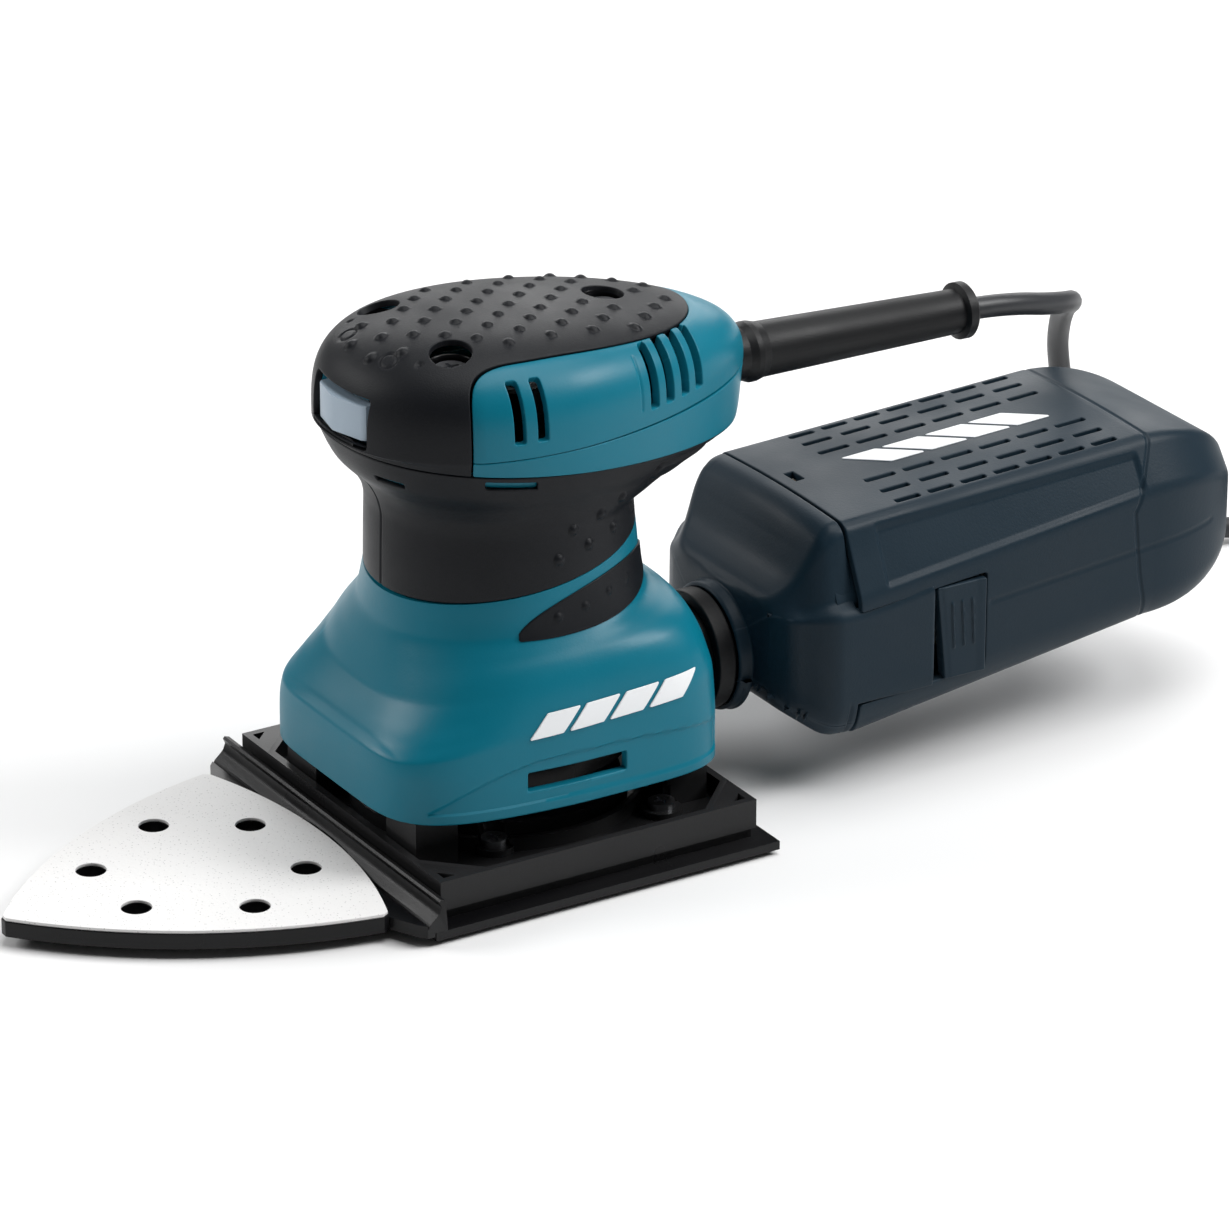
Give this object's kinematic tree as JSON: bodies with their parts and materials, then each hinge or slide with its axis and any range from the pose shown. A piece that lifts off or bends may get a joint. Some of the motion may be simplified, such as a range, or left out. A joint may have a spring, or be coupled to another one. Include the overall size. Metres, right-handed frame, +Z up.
{
  "type": "detail mouse sander",
  "caption": "Palm-grip orbital detail sander with a square pad, a holed delta nose sheet, a rocker switch, a rear dust box on a round spigot and a mains cord.",
  "frame": {"origin": "on the motor's spindle axis, in the plane of the sanding face that the tool rests on", "axes": "+X to the tool's left side, -Y to the front where the delta tip points, +Z up along the spindle"},
  "size_m": [0.152, 0.5355, 0.1396],
  "materials": {
    "teal_shell": "fine satin moulded",
    "elastomer": "fine matte with small bumps",
    "white_mark": "plain raised plate",
    "black_plastic": "moulded",
    "gloss_black": "polished",
    "rocker_blue": "satin",
    "slate_plastic": "fine spark-eroded grain",
    "steel": "turned",
    "lamination": "stacked sheet",
    "copper_wire": "enamelled winding",
    "carbon": "pressed graphite",
    "brass_sheet": "folded sheet",
    "cast_alloy": "die cast",
    "grey_plastic": "glass filled",
    "amber_film": "dipped",
    "soft_rubber": "moulded rubber",
    "sheet_back": "speckled, fibrous",
    "hook_face": "hook fabric",
    "card": "plain board",
    "bag_paper": "filter paper",
    "cord_jacket": "extruded"
  },
  "bodies": {
    "motor_unit": {"motor_housing": "teal_shell", "neck_grip": "elastomer", "grip_leaf_left": "elastomer", "grip_leaf_right": "elastomer", "badge_left": "white_mark", "badge_right": "white_mark", "top_cover": "teal_shell", "top_grip": "elastomer", "cover_screws": "steel", "switch_body": "black_plastic", "bearing_bracket": "grey_plastic", "capacitor": "amber_film", "cord_clamp": "black_plastic", "clamp_screws": "steel", "cord_guard": "cord_jacket", "stator_core": "lamination", "stator_coils": "copper_wire", "brush_holder_left": "brass_sheet", "brush_holder_right": "brass_sheet", "carbon_brush_left": "carbon", "carbon_brush_right": "carbon", "upper_bearing": "steel", "lower_bearing": "steel", "bearing_plate": "cast_alloy", "dust_shroud": "grey_plastic", "dust_spigot": "gloss_black", "leg_front_left": "soft_rubber", "leg_front_right": "soft_rubber", "leg_rear_left": "soft_rubber", "leg_rear_right": "soft_rubber", "leg_screws": "steel", "power_cord": "cord_jacket", "cord_coil": "cord_jacket", "plug_lead": "cord_jacket", "cord_tie": "soft_rubber", "mains_plug": "black_plastic"},
    "rotor": {"armature_shaft": "steel", "armature_core": "lamination", "armature_windings": "copper_wire", "commutator": "copper_wire", "cooling_fan": "grey_plastic", "dust_fan": "grey_plastic", "crank_weight": "cast_alloy"},
    "orbiting_base": {"base_tray": "black_plastic", "orbit_bearing": "steel", "pad_screws": "steel", "delta_carrier": "black_plastic", "square_pad": "black_plastic", "square_face": "hook_face", "delta_pad": "black_plastic", "delta_sheet": "sheet_back", "delta_foam": "hook_face"},
    "rocker": {"switch_rocker": "rocker_blue"},
    "collar": {"nozzle_collar": "gloss_black"},
    "dust_front": {"dust_nozzle": "slate_plastic", "bag_card": "card", "dust_bag": "bag_paper"},
    "dust_back": {"dust_case": "slate_plastic"},
    "latch_l": {"latch_left": "slate_plastic"},
    "latch_r": {"latch_right": "slate_plastic"}
  },
  "joints": [
    {"name": "spindle", "type": "hinge", "parent": "motor_unit", "child": "rotor", "pos_m": [0, 0, 0.06], "axis": [0, 0, 1], "continuous": true},
    {"name": "orbit", "type": "hinge", "parent": "rotor", "child": "orbiting_base", "pos_m": [0, -0.00075, 0.015], "axis": [0, 0, 1], "continuous": true},
    {"name": "rocker_tilt", "type": "hinge", "parent": "motor_unit", "child": "rocker", "pos_m": [0.0012, -0.0402, 0.121], "axis": [0, 0, 1], "range_deg": [-6, 6]},
    {"name": "collar_pull", "type": "slide", "parent": "motor_unit", "child": "collar", "axis": [0, 1, 0], "range_m": [0, 0.022]},
    {"name": "box_turn", "type": "hinge", "parent": "collar", "child": "dust_front", "pos_m": [0, 0.07, 0.0327], "axis": [0, 1, 0], "range_deg": [-25, 25]},
    {"name": "case_pull", "type": "slide", "parent": "dust_front", "child": "dust_back", "axis": [0, 1, 0], "range_m": [0, 0.095]},
    {"name": "latch_press_left", "type": "hinge", "parent": "dust_front", "child": "latch_l", "pos_m": [0.0348, 0.11015, 0.041], "axis": [0, 0, 1], "range_deg": [0, 6], "stiffness_Nm_per_rad": 0.2},
    {"name": "latch_press_right", "type": "hinge", "parent": "dust_front", "child": "latch_r", "pos_m": [-0.0348, 0.11015, 0.041], "axis": [0, 0, -1], "range_deg": [0, 6], "stiffness_Nm_per_rad": 0.2}
  ],
  "couplings": [
    {"joint": "orbit", "follows": "spindle", "ratio": -1}
  ]
}
